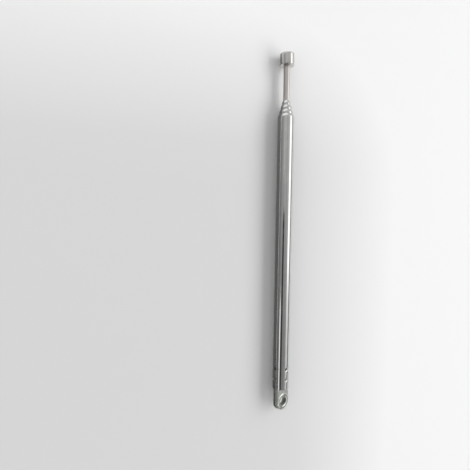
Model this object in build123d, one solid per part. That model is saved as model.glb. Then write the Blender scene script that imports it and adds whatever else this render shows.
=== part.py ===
from build123d import *
import os
from math import sqrt

# A five-section telescopic antenna, pushed shut and lying on its side. Sizes are in millimetres and
# angles in degrees. Y runs along the antenna towards the tip, Z is up, and the origin is where the
# axis of the lug's hole crosses the antenna's.

# The sections. Their diameters follow from the rod's, outwards.
rod_diameter = 1.9
tube_wall = 0.25
tube_gap = 0.15          # radial, between a tube and the bore that it slides in
rod_gap = 0.10           # radial, between the rod and the bore that it slides in
outer_tube_length = 81.8
mouth_step = 1.33        # how far each mouth stands out of the next larger one

# The rolled-in mouths
mouth_clearance = 0.03   # radial, between a mouth and the section that slides through it
mouth_lip = 0.05         # radial, width of the flat edge that is left round a mouth
mouth_roll = 1.0         # length of the rounded shoulder outside
mouth_land = 0.45        # length of the narrowed bore inside

# The rod and its cap
rod_exposed = 10.1
rod_head = 0.5           # length of the head below the spring groove
rod_spigot_diameter = 1.3
rod_spigot_length = 2.2
cap_diameter = 4.3
cap_length = 3.5
cap_rounding = 0.45      # of the edge at the tip
cap_edge_break = 0.15    # of the edge towards the tubes

# The base plug, whose outer end is milled to a flat lug
lug_inset = 0.05         # radial, from the outer tube's surface in to the bar that the lug is cut from
lug_length = 6.8
lug_thickness = 1.6
lug_offset = 0.35        # how far the lug's middle plane lies off the antenna's axis
lug_end_rounding = 2.1
lug_fillet = 0.8         # left by the cutter where each flat runs out at the tube
lug_roll = 21.0          # how far the lug's flats are rolled from level
hole_diameter = 2.6
hole_from_end = 2.7
hole_break = 0.25        # width and depth of the broken edge at the back of the hole
rim_radius = 1.85        # of the raised ring round the front of the hole, at its crest
rim_half_width = 0.5
rim_height = 0.15
plug_depth = 7.8         # how far the plug reaches into the outer tube
plug_chamfer = 0.3

# The staking dimples that hold the plug in the outer tube
stake_count = 4
stake_first_row = 3.0    # height above the tube's lower end
stake_row_pitch = 3.1
stake_width = 1.2
stake_depth = 0.2
stake_turn = -5.0        # how far the dimples are turned from the lug's flats
stake_seat_gap = 0.03    # between the pushed-in wall and the plug's groove

# The feet, turned plugs crimped into the lower ends of the inner tubes
foot_flange = 0.5
foot_shank = 1.6         # length of the foot inside its tube
foot_chamfer = 0.12
flange_clearance = 0.05  # radial, between a flange and the bore that it slides in
crimp_width = 0.7
crimp_depth = 0.1
stack_gap = 0.1          # axial, between a foot and what it comes down on

# The friction springs, two bowed half-shells round the neck of each inner section
spring_length = 3.2
spring_thickness = 0.14
spring_arc = 168.0       # how much of the circle each half-shell covers
spring_clearance = 0.02  # radial, at the neck and at the bore
spring_end_gap = 0.05    # axial, at each end of its groove

# Fits of pieces that don't move on each other
press_gap = 0.01         # radial, for a plug in its tube and the rod in its cap

# The sections, counted inwards from 0
NAMES = ["outer", "second", "third", "fourth", "rod"]
ROD = len(NAMES) - 1

# Worked out from the sizes above
lug_end = -hole_from_end
tube_end = lug_end + lug_length
groove_length = spring_length + 2 * spring_end_gap
punch_radius = (stake_width ** 2 / 4 + stake_depth ** 2) / (2 * stake_depth)


def section_radius(step):
    """Outer radius of a section: the rod's own, and each tube's from what slides in it."""
    return rod_diameter / 2 if step == ROD else bore_radius(step) + tube_wall


def bore_radius(step):
    return section_radius(step + 1) + (rod_gap if step + 1 == ROD else tube_gap)


def mouth_height(step):
    return tube_end + outer_tube_length + step * mouth_step


def neck_radius(step):
    """Radius of the neck inside the springs: a foot's shank, or the groove turned in the rod."""
    if step == ROD:
        return bore_radius(ROD - 1) - tube_gap - tube_wall - press_gap
    return bore_radius(step) - press_gap


def foot_bottom(step):
    """Lowest point of an inner section, standing on the foot of the next larger one."""
    if step == 1:
        return tube_end + plug_depth + stack_gap
    return foot_top(step - 1) + stack_gap


def foot_top(step):
    return foot_bottom(step) + foot_flange + groove_length + foot_shank


def groove_bottom(step):
    return foot_bottom(step) + (rod_head if step == ROD else foot_flange)


def turned(outline, sweep=360):
    """Turn a closed half outline, drawn as radius and height, about the antenna's axis."""
    return revolve(make_face(outline.edges()), Axis.Y, sweep)


def crimp_points(radius, height, inward=True):
    """The dent that a crimping roller leaves in a wall of this radius, listed upwards."""
    half = crimp_width / 2
    dent = radius - crimp_depth
    points = [(radius, height - half), (dent, height - half / 3), (dent, height + half / 3)]
    points.append((radius, height + half))
    return points if inward else points[::-1]


def tube(step, bottom, crimp_height=None):
    """A drawn tube with its mouth rolled in round the next section, and its foot end crimped."""
    outside = section_radius(step)
    bore = bore_radius(step)
    opening = section_radius(step + 1) + mouth_clearance
    top = mouth_height(step)
    lip = opening + mouth_lip
    shoulder = top - mouth_roll
    roll = TangentArc((outside, shoulder), (lip, top), tangent=(0, 1))
    inside = [(lip, top), (opening, top), (opening, top - mouth_land), (bore, shoulder)]
    if crimp_height is not None:
        inside += crimp_points(bore, crimp_height, inward=False)
    inside += [(bore, bottom), (outside, bottom)]
    if crimp_height is not None:
        inside += crimp_points(outside, crimp_height)
    inside.append((outside, shoulder))
    return turned(roll + Polyline(*inside))


def punch_ball(turn, height, wall=0):
    """The punch's round nose at one dimple, or with a wall, the outside of the metal round it."""
    reach = section_radius(0) - stake_depth + punch_radius
    return Rot(0, turn, 0) * Pos(0, height, reach) * Sphere(punch_radius + wall)


def stake_heights():
    return [tube_end + stake_first_row + row * stake_row_pitch for row in range(2)]


def outer_tube():
    """The outer tube, its wall pushed in at each dimple and so bulging into the plug's grooves."""
    body = tube(0, tube_end)
    inside = Rot(90, 0, 0) * Cylinder(bore_radius(0), 2 * outer_tube_length)
    turns = [lug_roll + stake_turn + 360 / stake_count * index for index in range(stake_count)]
    dimples = [(turn, height) for turn in turns for height in stake_heights()]
    for turn, height in dimples:
        body += punch_ball(turn, height, tube_wall) & inside
    for turn, height in dimples:
        body -= punch_ball(turn, height)
    return body


def milled_away(level, bar):
    """What the cutter takes off one side of the bar, down to a flat at this level above the axis."""
    start = lug_end - bar
    points = [(tube_end, 2 * bar), (start, 2 * bar), (start, level), (tube_end - lug_fillet, level)]
    corner = (tube_end, level + lug_fillet)
    run_out = RadiusArc(points[-1], corner, -lug_fillet)
    side = make_face((Polyline(*points) + run_out + Line(corner, points[0])).edges())
    return extrude(Plane.YZ * side, 2 * bar, both=True)


def hole_rim(hole, level):
    """The ring of metal raised round the hole's front, as a solid disc to be drilled."""
    ring = Pos(rim_radius, level) * Ellipse(rim_half_width, rim_height)
    core = Pos(rim_radius / 2, level) * Rectangle(rim_radius, 2 * rim_height)
    return revolve(Plane.XZ * (ring + core), Axis.Z)


def base_plug():
    """The plug: grooved where the tube is staked to it, and milled to a flat, drilled lug."""
    shank = bore_radius(0) - press_gap
    bar = section_radius(0) - lug_inset
    top = tube_end + plug_depth
    groove = bore_radius(0) - stake_depth - stake_seat_gap
    bulge_radius = punch_radius + tube_wall
    half = sqrt(bulge_radius ** 2 - (bulge_radius - stake_depth) ** 2) + stake_seat_gap
    points = [(0, lug_end), (bar - lug_end_rounding, lug_end)]
    end_arc = RadiusArc(points[-1], (bar, lug_end + lug_end_rounding), -lug_end_rounding)
    side = [(bar, lug_end + lug_end_rounding), (bar, tube_end), (shank, tube_end)]
    for height in stake_heights():
        side += [(shank, height - half), (groove, height - half), (groove, height + half)]
        side.append((shank, height + half))
    side += [(shank, top - plug_chamfer), (shank - plug_chamfer, top), (0, top), (0, lug_end)]
    plug = turned(Polyline(*points) + end_arc + Polyline(*side))

    front = lug_offset + lug_thickness / 2
    back = lug_thickness / 2 - lug_offset
    hole = hole_diameter / 2
    ring = hole_rim(hole, front) & plug
    plug -= milled_away(front, bar) + Rot(0, 180, 0) * milled_away(back, bar)
    plug += ring
    plug -= Cylinder(hole, 4 * bar)
    plug -= Pos(0, 0, -back) * Cone(hole + 2 * hole_break, hole, 2 * hole_break)
    return Rot(0, lug_roll, 0) * plug


def inner_tube(step):
    bottom = groove_bottom(step) + groove_length
    return tube(step, bottom, bottom + foot_shank / 2)


def foot(step):
    """A turned foot: a flange that runs in the next bore, a neck, and a shank in its own tube."""
    flange = bore_radius(step - 1) - flange_clearance
    neck = neck_radius(step)
    low = foot_bottom(step)
    top = foot_top(step)
    crimp = top - foot_shank / 2
    points = [(0, low), (flange - foot_chamfer, low), (flange, low + foot_chamfer)]
    points += [(flange, low + foot_flange), (neck, low + foot_flange)]
    points += crimp_points(neck, crimp)
    points += [(neck, top - foot_chamfer), (neck - foot_chamfer, top), (0, top), (0, low)]
    return turned(Polyline(*points))


def spring(step, side):
    """One bowed half-shell: its ends sit on the neck and its belly rubs on the bore outside it."""
    seat = neck_radius(step) + spring_clearance
    belly = bore_radius(step - 1) - spring_clearance
    low = groove_bottom(step) + spring_end_gap
    top = low + spring_length
    middle = low + spring_length / 2
    inner = ThreePointArc((seat, low), (belly - spring_thickness, middle), (seat, top))
    rim = seat + spring_thickness
    outer = ThreePointArc((rim, low), (belly, middle), (rim, top))
    ends = Line((seat, low), (rim, low)) + Line((seat, top), (rim, top))
    shell = turned(inner + outer + ends, spring_arc)
    return Rot(0, 180 * side, 0) * shell


def rod():
    """The solid rod: a head and spring groove at its foot, and a spigot that holds the cap."""
    radius = section_radius(ROD)
    neck = neck_radius(ROD)
    spigot = rod_spigot_diameter / 2
    low = foot_bottom(ROD)
    groove = groove_bottom(ROD)
    cap = mouth_height(ROD - 1) + rod_exposed
    points = [(0, low), (radius - foot_chamfer, low), (radius, low + foot_chamfer)]
    points += [(radius, groove), (neck, groove), (neck, groove + groove_length)]
    points += [(radius, groove + groove_length), (radius, cap), (spigot, cap)]
    points += [(spigot, cap + rod_spigot_length), (0, cap + rod_spigot_length), (0, low)]
    return turned(Polyline(*points))


def tip_cap():
    """The finger cap: a plain drum with rounded edges, bored blind for the rod's spigot."""
    outside = cap_diameter / 2
    bore = rod_spigot_diameter / 2 + press_gap
    low = mouth_height(ROD - 1) + rod_exposed
    top = low + cap_length
    floor = low + rod_spigot_length + press_gap
    wide = cap_rounding
    narrow = cap_edge_break
    lower = RadiusArc((outside - narrow, low), (outside, low + narrow), -narrow)
    upper = RadiusArc((outside, top - wide), (outside - wide, top), -wide)
    edge = Line((outside, low + narrow), (outside, top - wide))
    crown = Polyline((outside - wide, top), (0, top), (0, floor), (bore, floor), (bore, low))
    base = Line((bore, low), (outside - narrow, low))
    return turned(lower + edge + upper + crown + base)


pieces = {"outer_tube": outer_tube(), "base_plug": base_plug(), "rod": rod(), "tip_cap": tip_cap()}
for step, name in enumerate(NAMES[1:], start=1):
    if step != ROD:
        pieces[name + "_tube"] = inner_tube(step)
        pieces[name + "_foot"] = foot(step)
    pieces[name + "_spring_left"] = spring(step, 0)
    pieces[name + "_spring_right"] = spring(step, 1)
    travel = mouth_height(step - 1) - mouth_roll - groove_bottom(step) - groove_length
    print(name, "slides out", round(travel, 2), "mm")

os.makedirs("parts", exist_ok=True)
for name, solid in pieces.items():
    export_step(solid, "parts/" + name + ".step")
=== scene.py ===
from math import asin, cos, degrees, pi, radians, sin

import bpy
from mathutils import Matrix, Vector


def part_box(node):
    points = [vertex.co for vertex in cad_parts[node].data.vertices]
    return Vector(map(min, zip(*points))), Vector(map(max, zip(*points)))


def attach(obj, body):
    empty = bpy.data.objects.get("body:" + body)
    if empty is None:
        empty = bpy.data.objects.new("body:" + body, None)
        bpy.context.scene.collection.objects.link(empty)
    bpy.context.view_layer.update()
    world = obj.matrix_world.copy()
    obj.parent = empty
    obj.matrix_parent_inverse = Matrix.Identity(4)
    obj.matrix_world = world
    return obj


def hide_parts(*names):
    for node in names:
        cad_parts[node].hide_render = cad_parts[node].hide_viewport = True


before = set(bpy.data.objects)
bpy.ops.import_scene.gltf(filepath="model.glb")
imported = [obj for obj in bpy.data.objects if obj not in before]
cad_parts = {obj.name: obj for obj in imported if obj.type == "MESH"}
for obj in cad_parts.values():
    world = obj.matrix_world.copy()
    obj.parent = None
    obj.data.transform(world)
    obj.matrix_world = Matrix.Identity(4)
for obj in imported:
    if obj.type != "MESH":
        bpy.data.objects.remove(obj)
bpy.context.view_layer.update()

# The looks of a shut telescopic antenna that lies on a pale table. Lengths are in millimetres until
# they reach Blender, which takes metres. Pieces are placed by the frame's boxes, and these are the
# sizes that the boxes don't give.
MM = 0.001

# The tubes: their wall, rolled-in mouths and lower ends, and the crimp round each foot
TUBE_WALL = 0.25
MOUTH_CLEARANCE = 0.03
MOUTH_LIP = 0.05
MOUTH_ROLL = 1.0
MOUTH_LAND = 0.45
MOUTH_TAPER = 0.1
EDGE_BREAK = 0.05
CRIMP_WIDTH = 0.7
CRIMP_DEPTH = 0.1
CRIMP_HEIGHT = 0.8

# The two rows of staking dimples, the slight dish round each, and the painted shade in its bottom
STAKE_FIRST_ROW = 3.0
STAKE_ROW_PITCH = 3.1
STAKE_COUNT = 4
STAKE_TURN = radians(-5)
STAKE_WIDTH = 1.2
STAKE_DEPTH = 0.2
STAKE_SEAT_GAP = 0.03
DISH_RADIUS = 1.7
DISH_DEPTH = 0.025
PAINTED_SHADE_RADIUS = 0.45

# The base plug and the lug that its outer end is milled to
PRESS_GAP = 0.01
PLUG_CHAMFER = 0.3
LUG_ROLL = radians(21)
LUG_INSET = 0.05
LUG_LENGTH = 6.8
LUG_FRONT = 1.15
LUG_BACK = 0.45
LUG_END_ROUNDING = 2.1
LUG_FILLET = 0.8

# The lug's hole and the ring raised round it, how far the ring reaches into the lug and over the hole
# until it is joined and drilled, and the level above the lug from which it is painted
HOLE_RADIUS = 1.3
HOLE_BREAK = 0.25
RIM_RADIUS = 1.85
RIM_HALF_WIDTH = 0.5
RIM_HEIGHT = 0.15
RIM_ROOT = 0.2
RIM_OVERHANG = 0.1
RIM_PAINT_LEVEL = 0.01

# How far a cutter or drill reaches past the metal
TOOL_REACH = 1.0

# The rod, with the neck inside its springs and the spigot inside its cap
ROD_NECK = 0.64
ROD_CHAMFER = 0.12
SPRING_END_GAP = 0.05
SPIGOT_RADIUS = 0.65

# The cap, which the rod enters a little before its shoulder
CAP_ROUNDING = 0.45
CAP_EDGE_BREAK = 0.15
CAP_SEAT_CLEARANCE = 0.02
CAP_SEAT_DEPTH = 0.05
CAP_CROWN = 0.95

# Facets round the outer tube, the other pieces and the rod, rings of points along the dimpled stretch,
# the distance under which two points are one, and the sharpest edge that still looks round
TUBE_FACETS = 192
FACETS = 128
ROD_FACETS = 96
DIMPLE_RINGS = 84
SAME_POINT = 0.0005
SMOOTH_BELOW = radians(35)

# The plating: the depth of its drawing lines, how often they change across and along it, and what a
# smear does to its roughness and colour
LINE_DEPTH = 0.0006
LINES_ACROSS = 6
LINES_ALONG = 0.4
SMEAR_DULLING = 0.08
SMEAR_SHADE = 0.93

# The camera, where the photograph was taken from
CAMERA_PLACE = (-52.15, 56.32, 102.5)
CAMERA_TURN = (-3.321, -19.683, 0.862)
CAMERA_LENS = 29.243
SENSOR_WIDTH = 36.0

# The camera's own soft shade on the table: the corner past which it fades quickly to the right and
# beyond the tip, the corner past which it fades slowly the other way, and how far each fade reaches
SHADE_CORNER = (-5.0, 65.0, 0.0)
SHADE_FADE = (48.0, 50.0, 100.0)
SHADE_FAR_CORNER = (-50.0, 10.0, 0.0)
SHADE_FAR_FADE = (-350.0, -350.0, 1000.0)
TABLE_TONES = [(0, 0.715), (0.25, 0.73), (1, 0.935)]

# The table and the plain wall round it, in metres, and the wall's tone
TABLE_SIZE = 6
WALL_RADIUS = 2.9
WALL_HEIGHT = 8
WALL_TONE = 0.72

# Brightness of the window from its near end to its far end, by share of its length
WINDOW_TONES = [(0.32, 0.66), (0.41, 0.78), (0.5, 1.05), (0.57, 1.7), (1, 1.7)]

# Brightness of the low card beside the antenna, likewise
BOARD_TONES = [(0, 0.3), (0.25, 0.3), (0.3, 0.05), (0.36, 0.05), (0.4, 0.11), (0.76, 0.15), (0.925, 0.22),
               (0.94, 0.75), (1, 0.75)]

# Distance from the antenna to the long cards beside it, in metres
CARD_DISTANCE = 0.6

# Brightness of the surroundings by the angle from straight up, across the antenna
SKY_TONES = [(-80, 0.22), (-60, 0.28), (-48, 0.38), (-34, 0.33), (-18, 0.46), (2, 0.36), (20, 0.48),
             (64, 0.5), (70, 0.34), (88, 0.34)]

# And how much of it shows towards the lug and towards the tip, by the share of the direction along Y
SKY_NEAR = (-0.35, 0.65)
SKY_FAR = (0.40, 1.35)


def deselect():
    if bpy.context.mode != "OBJECT":
        bpy.ops.object.mode_set(mode="OBJECT")
    bpy.ops.object.select_all(action="DESELECT")


def pick(piece):
    deselect()
    piece.select_set(True)
    bpy.context.view_layer.objects.active = piece


def select_points(piece, chosen):
    """Select in edit mode just the points of a piece for which chosen is true."""
    bpy.ops.object.mode_set(mode="EDIT")
    bpy.ops.mesh.select_mode(type="VERT")
    bpy.ops.mesh.select_all(action="DESELECT")
    bpy.ops.object.mode_set(mode="OBJECT")
    for point in piece.data.vertices:
        point.select = chosen(point.co)
    bpy.ops.object.mode_set(mode="EDIT")


def smooth(piece):
    pick(piece)
    bpy.ops.object.shade_smooth_by_angle(angle=SMOOTH_BELOW)


def cut(piece, tool, operation="DIFFERENCE"):
    """Cut a piece with another, or join or intersect them, and remove the other."""
    pick(piece)
    modifier = piece.modifiers.new("cut", "BOOLEAN")
    modifier.object = tool
    modifier.operation = operation
    modifier.solver = "EXACT"
    bpy.ops.object.modifier_apply(modifier=modifier.name)
    bpy.data.objects.remove(tool)


def duplicate(piece):
    pick(piece)
    bpy.ops.object.duplicate()
    return bpy.context.object


def turn_about_axis(piece, angle):
    """Turn a piece about the antenna's axis."""
    piece.data.transform(Matrix.Rotation(angle, 4, "Y"))


def onto_hole(piece):
    """Stand a piece that was spun about Y on the hole's axis, its top at the lug's front."""
    piece.data.transform(Matrix.Rotation(radians(90), 4, "X"))
    turn_about_axis(piece, LUG_ROLL)


def start_outline(point):
    """Add a single point at this place, and leave it selected in edit mode."""
    deselect()
    bpy.ops.mesh.primitive_plane_add(size=MM, location=Vector(point) * MM)
    bpy.ops.object.transform_apply(location=True, rotation=True, scale=True)
    bpy.ops.object.mode_set(mode="EDIT")
    bpy.ops.mesh.merge(type="CENTER")
    return bpy.context.object


def draw_through(points):
    """Extrude the selected point, which is the first of these, through the others."""
    for here, there in zip(points, points[1:]):
        step = Vector([end - start for start, end in zip(here, there)]) * MM
        bpy.ops.mesh.extrude_vertices_move(TRANSFORM_OT_translate={"value": step})


def turned(name, outline, facets):
    """Draw a closed half section point by point, as radius and height, and spin it about the axis."""
    points = [(radius, height, 0) for radius, height in outline]
    piece = start_outline(points[0])
    piece.name = name
    draw_through(points + points[:1])
    bpy.ops.mesh.select_all(action="SELECT")
    bpy.ops.mesh.spin(steps=facets, angle=2 * pi, center=(0, 0, 0), axis=(0, 1, 0))
    bpy.ops.mesh.select_all(action="SELECT")
    bpy.ops.mesh.remove_doubles(threshold=SAME_POINT * MM)
    bpy.ops.mesh.normals_make_consistent(inside=False)
    bpy.ops.object.mode_set(mode="OBJECT")
    return piece


def arc(centre, radii, start, end, count):
    """Points along a stretch of an ellipse, from the start angle to the end angle in degrees."""
    angles = [radians(start + (end - start) * index / count) for index in range(count + 1)]
    return [(centre[0] + radii[0] * cos(a), centre[1] + radii[1] * sin(a)) for a in angles]


def radius_of(node):
    low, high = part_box(node)
    return (high.x - low.x) / 2 / MM


def ends_of(node):
    low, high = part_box(node)
    return low.y / MM, high.y / MM


def crimp_points(radius, height):
    """The dent that a crimping roller leaves in a wall of this radius, listed upwards."""
    half = CRIMP_WIDTH / 2
    dent = radius - CRIMP_DEPTH
    points = [(radius, height - half), (dent, height - half / 3)]
    return points + [(dent, height + half / 3), (radius, height + half)]


def tube_outline(node, inner_node, rings=(), crimped=False):
    """The section of a tube's wall: broken edge below, and its mouth rolled in round the next section."""
    outside = radius_of(node)
    bore = outside - TUBE_WALL
    bottom, top = ends_of(node)
    opening = radius_of(inner_node) + MOUTH_CLEARANCE
    lip = opening + MOUTH_LIP
    shoulder = top - MOUTH_ROLL
    fall = outside - lip
    bend = (MOUTH_ROLL ** 2 + fall ** 2) / (2 * fall)
    outline = [(outside - EDGE_BREAK, bottom), (outside, bottom + EDGE_BREAK)]
    outline += [(outside, height) for height in rings]
    if crimped:
        outline += crimp_points(outside, bottom + CRIMP_HEIGHT)
    outline += arc((outside - bend, shoulder), (bend, bend), 0, degrees(asin(MOUTH_ROLL / bend)), 12)
    outline += arc((lip, top - MOUTH_LIP / 2), (MOUTH_LIP, MOUTH_LIP / 2), 90, 180, 3)[1:]
    outline += [(opening, top - MOUTH_LAND), (bore, shoulder - MOUTH_TAPER)]
    outline += [(bore, height) for height in reversed(rings)]
    if crimped:
        outline += crimp_points(bore, bottom + CRIMP_HEIGHT)[::-1]
    outline.append((bore, bottom))
    return outline


def stake_rows():
    first = ends_of("outer_tube")[0] + STAKE_FIRST_ROW
    return [first, first + STAKE_ROW_PITCH]


def stake_places():
    """Turn and height of every stake."""
    turns = [LUG_ROLL + STAKE_TURN + 2 * pi * index / STAKE_COUNT for index in range(STAKE_COUNT)]
    return [(turn, height) for height in stake_rows() for turn in turns]


def punch_dimple(piece, turn, height):
    """Dish the wall in slightly round one stake, and then push in the dimple of the punch."""
    out = Vector((sin(turn), 0, cos(turn)))
    centre = out * radius_of("outer_tube") * MM + Vector((0, height * MM, 0))
    nearest = min(piece.data.vertices, key=lambda point: (point.co - centre).length_squared)
    at = nearest.co.copy()
    select_points(piece, lambda co: (co - at).length < SAME_POINT * MM)
    half = (STAKE_DEPTH - DISH_DEPTH) / 2
    radius = STAKE_WIDTH / 2
    steps = [(DISH_DEPTH, DISH_RADIUS, "SMOOTH"), (half, radius, "SPHERE"), (half, radius, "INVERSE_SQUARE")]
    for depth, reach, falloff in steps:
        bpy.ops.transform.translate(
            value=-out * depth * MM,
            use_proportional_edit=True,
            proportional_edit_falloff=falloff,
            proportional_size=reach * MM,
        )
    bpy.ops.object.mode_set(mode="OBJECT")


def outer_tube():
    """The outer tube, with rings of points for the dimples to be pushed into."""
    rows = stake_rows()
    low = rows[0] - DISH_RADIUS
    spacing = (rows[1] + DISH_RADIUS - low) / DIMPLE_RINGS
    rings = [low + spacing * index for index in range(DIMPLE_RINGS + 1)]
    piece = turned("outer_tube_drawn", tube_outline("outer_tube", "second_tube", rings), TUBE_FACETS)
    pick(piece)
    for turn, height in stake_places():
        punch_dimple(piece, turn, height)
    smooth(piece)
    return piece


def inner_tube(node, inner_node):
    """A tube that slides in a larger one, crimped round its foot."""
    piece = turned(node + "_drawn", tube_outline(node, inner_node, crimped=True), FACETS)
    smooth(piece)
    return piece


def milling_cutter(level, turn):
    """What the cutter takes off one side of the bar, with the fillet where its flat runs out."""
    end = ends_of("base_plug")[0]
    reach = 2 * radius_of("outer_tube")
    stop = end + LUG_LENGTH
    outline = [(stop, reach), (end - TOOL_REACH, reach), (end - TOOL_REACH, level)]
    outline += arc((stop - LUG_FILLET, level + LUG_FILLET), (LUG_FILLET, LUG_FILLET), -90, 0, 12)
    points = [(-reach, along, height) for along, height in outline]
    cutter = start_outline(points[0])
    draw_through(points)
    bpy.ops.mesh.select_all(action="SELECT")
    bpy.ops.mesh.edge_face_add()
    across = Vector((2 * reach, 0, 0)) * MM
    bpy.ops.mesh.extrude_region_move(TRANSFORM_OT_translate={"value": across})
    bpy.ops.mesh.select_all(action="SELECT")
    bpy.ops.mesh.normals_make_consistent(inside=False)
    bpy.ops.object.mode_set(mode="OBJECT")
    turn_about_axis(cutter, turn)
    return cutter


def drill():
    """The hole's shape as a solid, wider at the back where the edge is broken."""
    wide = HOLE_RADIUS + HOLE_BREAK
    bottom = -LUG_BACK - TOOL_REACH
    top = LUG_FRONT + TOOL_REACH
    outline = [(0, bottom), (wide + TOOL_REACH, bottom), (wide, -LUG_BACK)]
    outline += [(HOLE_RADIUS, -LUG_BACK + HOLE_BREAK), (HOLE_RADIUS, top), (0, top)]
    piece = turned("drill", outline, FACETS)
    onto_hole(piece)
    return piece


def hole_rim():
    """The ring of metal raised round the hole's front."""
    inside = HOLE_RADIUS - RIM_OVERHANG
    outline = [(inside, LUG_FRONT - RIM_ROOT), (RIM_RADIUS + RIM_HALF_WIDTH, LUG_FRONT - RIM_ROOT)]
    outline += arc((RIM_RADIUS, LUG_FRONT), (RIM_HALF_WIDTH, RIM_HEIGHT), 0, 180, 16)
    outline.append((inside, LUG_FRONT))
    piece = turned("rim", outline, FACETS)
    onto_hole(piece)
    return piece


def base_plug():
    """The plug: turned, grooved where the tube is staked to it, milled to a lug and drilled."""
    end, top = ends_of("base_plug")
    bar = radius_of("outer_tube") - LUG_INSET
    bore = radius_of("outer_tube") - TUBE_WALL
    shank = bore - PRESS_GAP
    rounding = LUG_END_ROUNDING
    outline = [(0, end)] + arc((bar - rounding, end + rounding), (rounding, rounding), -90, 0, 16)
    outline += [(bar, end + LUG_LENGTH), (shank, end + LUG_LENGTH)]
    groove = bore - STAKE_DEPTH - STAKE_SEAT_GAP
    half = STAKE_WIDTH / 2 + STAKE_SEAT_GAP
    for height in stake_rows():
        outline += [(shank, height - half), (groove, height - half)]
        outline += [(groove, height + half), (shank, height + half)]
    outline += [(shank, top - PLUG_CHAMFER), (shank - PLUG_CHAMFER, top), (0, top)]
    piece = turned("base_plug_milled", outline, FACETS)
    rim = hole_rim()
    cut(rim, duplicate(piece), "INTERSECT")
    cut(piece, milling_cutter(LUG_FRONT, LUG_ROLL))
    cut(piece, milling_cutter(LUG_BACK, LUG_ROLL + pi))
    cut(piece, rim, "UNION")
    cut(piece, drill())
    smooth(piece)
    return piece


def rod():
    """The rod, with its head and spring groove at the foot and the spigot that holds the cap."""
    low, high = ends_of("rod")
    radius = radius_of("rod")
    seat = ends_of("tip_cap")[0] + CAP_SEAT_DEPTH
    groove, shoulder = ends_of("rod_spring_left")
    groove -= SPRING_END_GAP
    shoulder += SPRING_END_GAP
    outline = [(0, low), (radius - ROD_CHAMFER, low), (radius, low + ROD_CHAMFER), (radius, groove)]
    outline += [(ROD_NECK, groove), (ROD_NECK, shoulder), (radius, shoulder)]
    outline += [(radius, seat), (SPIGOT_RADIUS, seat), (SPIGOT_RADIUS, high), (0, high)]
    piece = turned("rod_turned", outline, ROD_FACETS)
    smooth(piece)
    return piece


def tip_cap():
    """The finger cap, a drum with rounded edges that is bored blind for the spigot."""
    low, high = ends_of("tip_cap")
    radius = radius_of("tip_cap")
    seat = radius_of("rod") + CAP_SEAT_CLEARANCE
    bore = SPIGOT_RADIUS + PRESS_GAP
    wide = CAP_ROUNDING
    narrow = CAP_EDGE_BREAK
    outline = [(seat, low + CAP_SEAT_DEPTH), (seat + CAP_SEAT_DEPTH, low)]
    outline += arc((radius - narrow, low + narrow), (narrow, narrow), -90, 0, 6)
    outline += arc((radius - wide, high - wide), (wide, wide), 0, 90, 10)
    outline += [(0, high), (0, high - CAP_CROWN), (bore, high - CAP_CROWN), (bore, low + CAP_SEAT_DEPTH)]
    piece = turned("tip_cap_turned", outline, FACETS)
    smooth(piece)
    return piece


def node(tree, kind, **inputs):
    """Add a shader node, with these values on its sockets."""
    made = tree.nodes.new("ShaderNode" + kind)
    for name, value in inputs.items():
        made.inputs[name.replace("_", " ")].default_value = value
    return made


def vector_math(tree, operation, *sources):
    """Add a node that works on vectors, fed from these sockets in turn."""
    made = tree.nodes.new("ShaderNodeVectorMath")
    made.operation = operation
    for source, entry in zip(sources, made.inputs):
        tree.links.new(source, entry)
    return made


def grey_ramp(tree, tones):
    """A ramp of greys, given as position and tone."""
    made = node(tree, "ValToRGB")
    stops = made.color_ramp.elements
    while len(stops) < len(tones):
        stops.new(0.5)
    for stop, (position, tone) in zip(stops, tones):
        stop.position = position
        stop.color = (tone, tone, tone, 1)
    return made


def shaded(name):
    """A new material, with its node tree and its shader."""
    material = bpy.data.materials.new(name)
    material.use_nodes = True
    return material, material.node_tree, material.node_tree.nodes["Principled BSDF"]


def glowing(name, strength):
    """A new material that only gives off light, with its node tree and the node that glows."""
    material = bpy.data.materials.new(name)
    material.use_nodes = True
    tree = material.node_tree
    tree.nodes.clear()
    glow = node(tree, "Emission", Strength=strength)
    end = tree.nodes.new("ShaderNodeOutputMaterial")
    tree.links.new(glow.outputs["Emission"], end.inputs["Surface"])
    return material, tree, glow


def draw_lines(tree, in_mm, shader):
    """Faint lines along the metal, as drawing leaves them."""
    stretch = node(tree, "Mapping", Scale=(LINES_ACROSS, LINES_ALONG, LINES_ACROSS))
    tree.links.new(in_mm.outputs["Vector"], stretch.inputs["Vector"])
    lines = node(tree, "TexNoise", Scale=1.6, Detail=4.0, Roughness=0.6)
    tree.links.new(stretch.outputs["Vector"], lines.inputs["Vector"])
    bump = node(tree, "Bump", Strength=0.5, Distance=LINE_DEPTH * MM)
    tree.links.new(lines.outputs["Fac"], bump.inputs["Height"])
    tree.links.new(bump.outputs["Normal"], shader.inputs["Normal"])


def smear(tree, in_mm, shader, colour, roughness):
    """Smears that make the metal a little darker in some places and duller in others."""
    smears = node(tree, "TexNoise", Scale=0.35, Detail=5.0, Roughness=0.55)
    tree.links.new(in_mm.outputs["Vector"], smears.inputs["Vector"])
    duller = roughness + SMEAR_DULLING
    dulling = node(tree, "MapRange", From_Min=0.35, From_Max=0.7, To_Min=roughness, To_Max=duller)
    tree.links.new(smears.outputs["Fac"], dulling.inputs["Value"])
    tree.links.new(dulling.outputs["Result"], shader.inputs["Roughness"])

    tone = node(tree, "ValToRGB")
    darker = [part * SMEAR_SHADE for part in colour]
    tone.color_ramp.elements[0].position = 0.3
    tone.color_ramp.elements[0].color = (*darker, 1)
    tone.color_ramp.elements[1].position = 0.65
    tone.color_ramp.elements[1].color = (*colour, 1)
    tree.links.new(smears.outputs["Fac"], tone.inputs["Fac"])
    tree.links.new(tone.outputs["Color"], shader.inputs["Base Color"])


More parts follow.
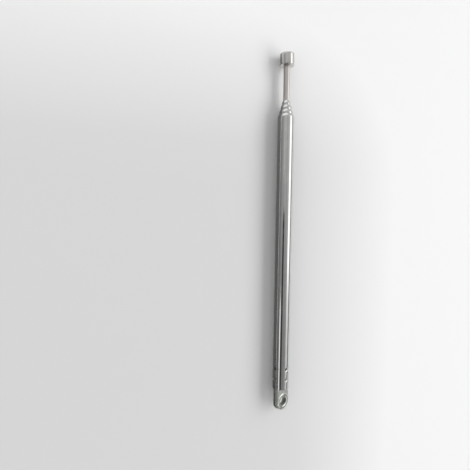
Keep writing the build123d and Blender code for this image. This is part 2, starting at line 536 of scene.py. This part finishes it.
def plated(name, colour, roughness):
    """Drawn or turned metal, plated or bare: faint lengthwise lines, and smears that dull it a little."""
    material, tree, shader = shaded(name)
    shader.inputs["Metallic"].default_value = 1.0
    place = tree.nodes.new("ShaderNodeTexCoord")
    in_mm = node(tree, "Mapping", Scale=(1 / MM, 1 / MM, 1 / MM))
    tree.links.new(place.outputs["Object"], in_mm.inputs["Vector"])
    draw_lines(tree, in_mm, shader)
    smear(tree, in_mm, shader, colour, roughness)
    return material


def paint(piece, material):
    piece.data.materials.clear()
    piece.data.materials.append(material)


def paint_dimples(piece, lower, upper):
    """Paint shade into the bottoms of the dimples, darker in the upper row."""
    piece.data.materials.append(lower)
    piece.data.materials.append(upper)
    radius = radius_of("outer_tube")
    rows = stake_rows()
    for turn, height in stake_places():
        centre = Vector((sin(turn) * radius, height, cos(turn) * radius)) * MM
        index = 1 + rows.index(height)
        for face in piece.data.polygons:
            if (face.center - centre).length < PAINTED_SHADE_RADIUS * MM:
                face.material_index = index


def paint_hole(piece, wall, rim):
    """Paint shade into the hole's wall, and paint the rim, which the screw has polished."""
    piece.data.materials.append(wall)
    piece.data.materials.append(rim)
    axis = Vector((sin(LUG_ROLL), 0, cos(LUG_ROLL)))
    for face in piece.data.polygons:
        level = face.center.dot(axis)
        distance = (face.center - axis * level).length
        if distance < (HOLE_RADIUS + HOLE_BREAK) * MM and abs(face.normal.dot(axis)) < 0.5:
            face.material_index = 1
        elif distance < (RIM_RADIUS + RIM_HALF_WIDTH) * MM and level > (LUG_FRONT + RIM_PAINT_LEVEL) * MM:
            face.material_index = 2


def dress(piece, cad_node, body, material):
    """Let a piece stand for its CAD node, ride on its body, and show its material."""
    paint(piece, material)
    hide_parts(cad_node)
    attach(piece, body)


def repaint_nodes(kind, material):
    """Give this material to the CAD nodes of one kind, which are shown as they are."""
    for name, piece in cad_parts.items():
        if kind in name:
            for place in piece.material_slots:
                place.material = material


def past_corner(tree, place, corner, fade):
    """How far a place lies past a corner of the shade, as shares of the fade's reach."""
    scale = [1 / (reach * MM) for reach in fade]
    start = [-at / reach for at, reach in zip(corner, fade)]
    past = node(tree, "Mapping", Scale=scale, Location=start)
    tree.links.new(place.outputs["Object"], past.inputs["Vector"])
    return past.outputs["Vector"]


def floor():
    """The pale table, a little darker in the camera's shade."""
    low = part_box("outer_tube")[0].z
    deselect()
    bpy.ops.mesh.primitive_plane_add(size=TABLE_SIZE, location=(0, 0, low))
    table = bpy.context.object
    table.name = "table"
    material, tree, shader = shaded("pale_table")
    shader.inputs["Roughness"].default_value = 0.55
    shader.inputs["Specular IOR Level"].default_value = 0.1
    place = tree.nodes.new("ShaderNodeTexCoord")
    right = past_corner(tree, place, SHADE_CORNER, SHADE_FADE)
    left = past_corner(tree, place, SHADE_FAR_CORNER, SHADE_FAR_FADE)
    either = vector_math(tree, "MAXIMUM", right, left)
    beyond = vector_math(tree, "MAXIMUM", either.outputs["Vector"])
    distance = vector_math(tree, "LENGTH", beyond.outputs["Vector"])
    tone = grey_ramp(tree, TABLE_TONES)
    tree.links.new(distance.outputs["Value"], tone.inputs["Fac"])
    tree.links.new(tone.outputs["Color"], shader.inputs["Base Color"])
    paint(table, material)


def backdrop():
    """A plain pale wall all round, which only the camera sees."""
    deselect()
    bpy.ops.mesh.primitive_cylinder_add(
        vertices=96, radius=WALL_RADIUS, depth=WALL_HEIGHT, end_fill_type="NOTHING"
    )
    wall = bpy.context.object
    wall.name = "backdrop"
    paint(wall, glowing("pale_wall", WALL_TONE)[0])
    wall.visible_diffuse = False
    wall.visible_glossy = False
    wall.visible_shadow = False


def make_card(name, tones, location, size, turn):
    """A flat card that shows only in the plating, with its tones spaced along its own Y."""
    deselect()
    bpy.ops.mesh.primitive_plane_add(size=1, location=location, rotation=turn)
    piece = bpy.context.object
    piece.name = name
    piece.scale = (size[0], size[1], 1)
    bpy.ops.object.transform_apply(location=False, rotation=False, scale=True)
    brightest = max(tone for _, tone in tones)
    material, tree, glow = glowing(name, brightest)
    place = tree.nodes.new("ShaderNodeTexCoord")
    parts = tree.nodes.new("ShaderNodeSeparateXYZ")
    tree.links.new(place.outputs["Object"], parts.inputs["Vector"])
    share = node(tree, "MapRange", From_Min=-size[1] / 2, From_Max=size[1] / 2)
    tree.links.new(parts.outputs["Y"], share.inputs["Value"])
    ramp = grey_ramp(tree, [(position, tone / brightest) for position, tone in tones])
    tree.links.new(share.outputs["Result"], ramp.inputs["Fac"])
    tree.links.new(ramp.outputs["Color"], glow.inputs["Color"])
    paint(piece, material)
    piece.visible_camera = False
    piece.visible_diffuse = False
    piece.visible_shadow = False
    return piece


def side_card(name, angle, width, stretch, tones):
    """A long card beside the antenna, facing it from this angle. Its stretch is along Y."""
    near, far = stretch
    turn = radians(angle)
    place = (sin(turn) * CARD_DISTANCE, (near + far) / 2, cos(turn) * CARD_DISTANCE)
    size = (2 * CARD_DISTANCE * sin(radians(width / 2)), far - near)
    return make_card(name, tones, place, size, (0, turn, 0))


def end_card(name, tone, place, size):
    """An upright card of one tone that faces along the antenna."""
    make_card(name, [(0, tone), (1, tone)], place, size, (radians(90), 0, 0))


def area_light(name, place, target, size, power):
    """A soft light that doesn't show in the plating."""
    data = bpy.data.lights.new(name, "AREA")
    data.shape = "RECTANGLE"
    data.size, data.size_y = size
    data.energy = power
    light = bpy.data.objects.new(name, data)
    bpy.context.scene.collection.objects.link(light)
    light.location = place
    aim = Vector(target) - Vector(place)
    light.rotation_euler = aim.to_track_quat("-Z", "Y").to_euler()
    light.visible_glossy = False


def sky():
    """Soft surroundings: brightness follows the direction across the antenna, and grows towards its tip."""
    world = bpy.data.worlds.new("soft_room")
    bpy.context.scene.world = world
    world.use_nodes = True
    tree = world.node_tree
    direction = tree.nodes.new("ShaderNodeTexCoord")
    parts = tree.nodes.new("ShaderNodeSeparateXYZ")
    tree.links.new(direction.outputs["Generated"], parts.inputs["Vector"])
    across = tree.nodes.new("ShaderNodeMath")
    across.operation = "ARCTAN2"
    tree.links.new(parts.outputs["X"], across.inputs[0])
    tree.links.new(parts.outputs["Z"], across.inputs[1])
    turn = node(tree, "MapRange", From_Min=-pi / 2, From_Max=pi / 2)
    tree.links.new(across.outputs["Value"], turn.inputs["Value"])
    tones = grey_ramp(tree, [((angle + 90) / 180, tone) for angle, tone in SKY_TONES])
    tree.links.new(turn.outputs["Result"], tones.inputs["Fac"])
    (low, dim), (high, bright) = SKY_NEAR, SKY_FAR
    along = node(tree, "MapRange", From_Min=low, From_Max=high, To_Min=dim, To_Max=bright)
    tree.links.new(parts.outputs["Y"], along.inputs["Value"])
    background = tree.nodes["Background"]
    tree.links.new(tones.outputs["Color"], background.inputs["Color"])
    tree.links.new(along.outputs["Result"], background.inputs["Strength"])


def lights():
    """The soft lights, and the cards that show in the plating. Places and sizes are in metres."""
    area_light("overhead", (0.1, 0.5, 1.1), (0, 0.05, 0), (2.6, 2.6), 3)
    area_light("from_window", (1.17, 0.0, 0.93), (0, 0.05, 0), (2.4, 0.8), 20)
    area_light("from_left", (-1.23, 0.0, 0.86), (0, 0.05, 0), (2.4, 0.8), 5)
    side_card("window", 51.5, 31, (-0.6, 0.42), WINDOW_TONES)
    side_card("side_strip", -50, 11, (-0.8, -0.10), [(0, 1.0), (1, 1.25)])
    side_card("left_window", -78, 14, (0.25, 0.9), [(0, 0.5), (1, 0.75)])
    side_card("ceiling_lamp", -35, 5, (0.14, 0.8), [(0, 0.8), (1, 0.8)])
    end_card("far_wall", 1.1, (-0.42, 0.6, 0.3), (0.96, 0.5))
    make_card("side_board", BOARD_TONES, Vector((-24, 24, -2.2)) * MM, (0.042, 0.188), (0, 0, 0))
    end_card("near_wall", 0.14, (-0.1, -0.5, 0.16), (0.9, 0.3))
    beside_camera = Vector((-57, -20, 106)) * MM
    shade = make_card("camera_shade", [(0, 0.05), (1, 0.05)], beside_camera, (0.053, 0.16), (0, 0, 0))
    shade.visible_shadow = True


def camera():
    data = bpy.data.cameras.new("camera")
    data.lens = CAMERA_LENS
    data.sensor_width = SENSOR_WIDTH
    data.clip_start = MM
    shot = bpy.data.objects.new("camera", data)
    bpy.context.scene.collection.objects.link(shot)
    shot.location = Vector(CAMERA_PLACE) * MM
    shot.rotation_euler = [radians(angle) for angle in CAMERA_TURN]
    bpy.context.scene.camera = shot
    bpy.context.scene.view_settings.view_transform = "Standard"


camera()

chrome = plated("chrome_tube", (0.71, 0.71, 0.70), 0.07)
chrome_turned = plated("chrome_turned", (0.70, 0.69, 0.67), 0.09)
satin = plated("satin_rod", (0.72, 0.69, 0.66), 0.27)
nickel = plated("nickel_lug", (0.76, 0.78, 0.73), 0.26)
brass = plated("bare_brass", (0.80, 0.62, 0.33), 0.25)
bronze = plated("spring_bronze", (0.72, 0.45, 0.28), 0.25)
# Painted shade for the hole's wall, which is darker than the lug
bored = plated("hole_wall_painted_shade", (0.44, 0.46, 0.43), 0.45)
polished = plated("polished_rim", (0.80, 0.82, 0.77), 0.10)
# Painted shade for the dimples' bottoms, the upper row darker
painted_shade_lower = plated("dimple_painted_shade_lower", (0.36, 0.38, 0.35), 0.45)
broken = plated("dimple_painted_shade_upper", (0.15, 0.16, 0.14), 0.45)

drawn_tube = outer_tube()
dress(drawn_tube, "outer_tube", "base", chrome)
paint_dimples(drawn_tube, painted_shade_lower, broken)
dress(inner_tube("second_tube", "third_tube"), "second_tube", "second_section", chrome)
dress(inner_tube("third_tube", "fourth_tube"), "third_tube", "third_section", chrome)
dress(inner_tube("fourth_tube", "rod"), "fourth_tube", "fourth_section", chrome)
milled_plug = base_plug()
dress(milled_plug, "base_plug", "base", nickel)
paint_hole(milled_plug, bored, polished)
dress(rod(), "rod", "rod_section", satin)
dress(tip_cap(), "tip_cap", "rod_section", chrome_turned)
repaint_nodes("_foot", brass)
repaint_nodes("_spring_", bronze)

floor()
backdrop()
sky()
lights()
